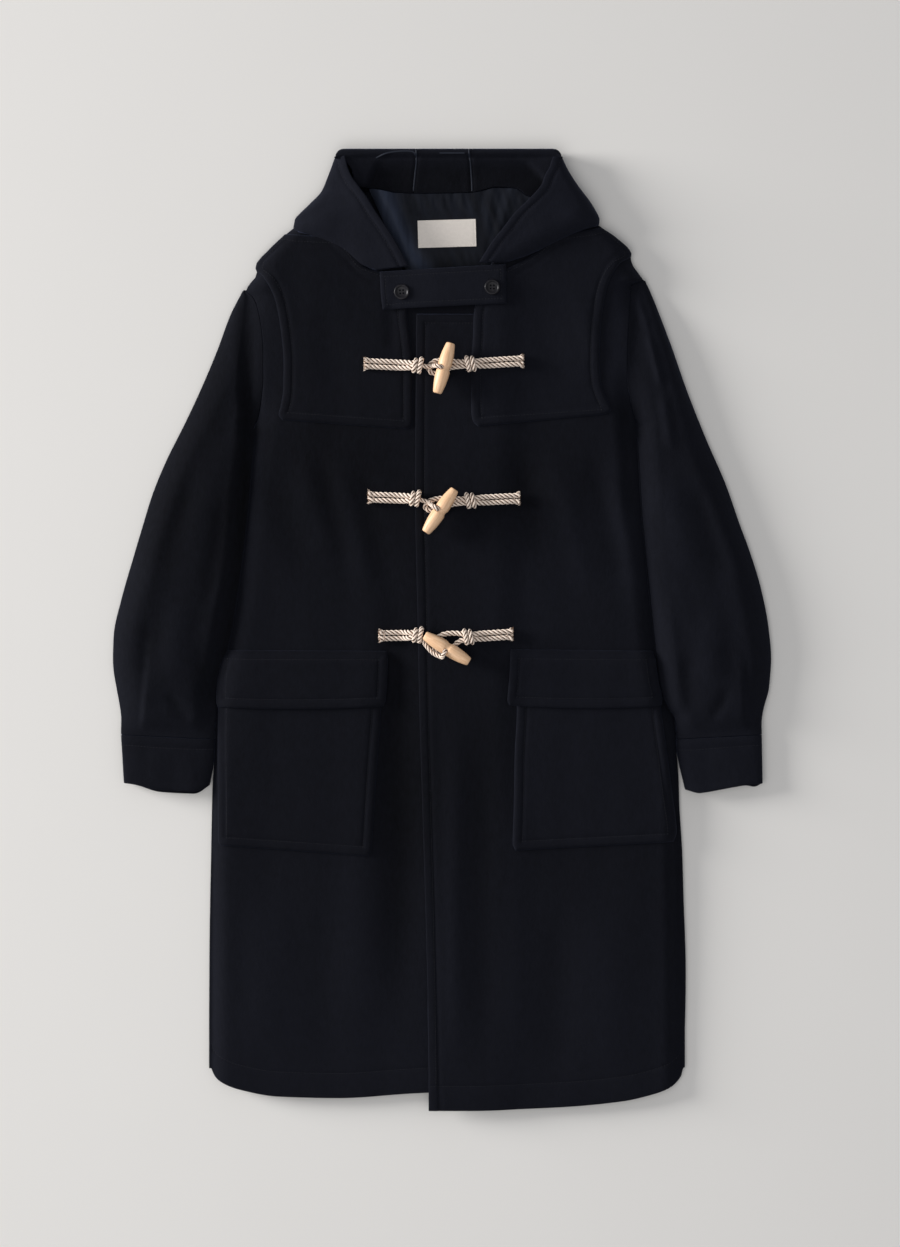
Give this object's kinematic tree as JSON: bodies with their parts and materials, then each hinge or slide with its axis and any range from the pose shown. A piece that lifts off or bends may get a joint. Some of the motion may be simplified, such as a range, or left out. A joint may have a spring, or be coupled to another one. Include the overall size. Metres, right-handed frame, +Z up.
{
  "type": "hooded duffle coat, laid flat",
  "caption": "Hooded wool duffle coat laid flat on its back, closed with toggles and cord loops, with shoulder yokes, flap pockets and a buttoned throat tab.",
  "frame": {"origin": "middle of the bounding box, on the surface that the coat lies on", "axes": "+Y from the hem to the hood, +X to the wearer's left, +Z up from the surface"},
  "size_m": [0.792, 1.1535, 0.0507],
  "materials": {
    "wool": "brushed melton wool, dark navy, matt with a short nap",
    "satin": "satin lining, navy, soft sheen",
    "label": "woven label, ivory, bare",
    "rope": "twisted three-strand jute cord, beige",
    "birch": "turned birch, satin lacquer",
    "horn": "polished dark horn-like resin"
  },
  "bodies": {
    "root": {"back": "wool", "front_right": "wool", "front_left": "wool", "sleeve_right_upper": "wool", "sleeve_right_under": "wool", "sleeve_left_upper": "wool", "sleeve_left_under": "wool", "cuff_right": "wool", "cuff_left": "wool", "yoke_right": "wool", "yoke_left": "wool", "pocket_right": "wool", "pocket_left": "wool", "pocket_flap_right": "wool", "pocket_flap_left": "wool", "hood_right": "wool", "hood_centre": "wool", "hood_left": "wool", "throat_tab": "wool", "lining": "satin", "neck_label": "label", "button_right": "horn", "button_left": "horn", "toggle_1": "birch", "toggle_2": "birch", "toggle_3": "birch", "toggle_cord_1": "rope", "toggle_cord_2": "rope", "toggle_cord_3": "rope", "loop_cord_1": "rope", "loop_cord_2": "rope", "loop_cord_3": "rope"}
  },
  "joints": []
}
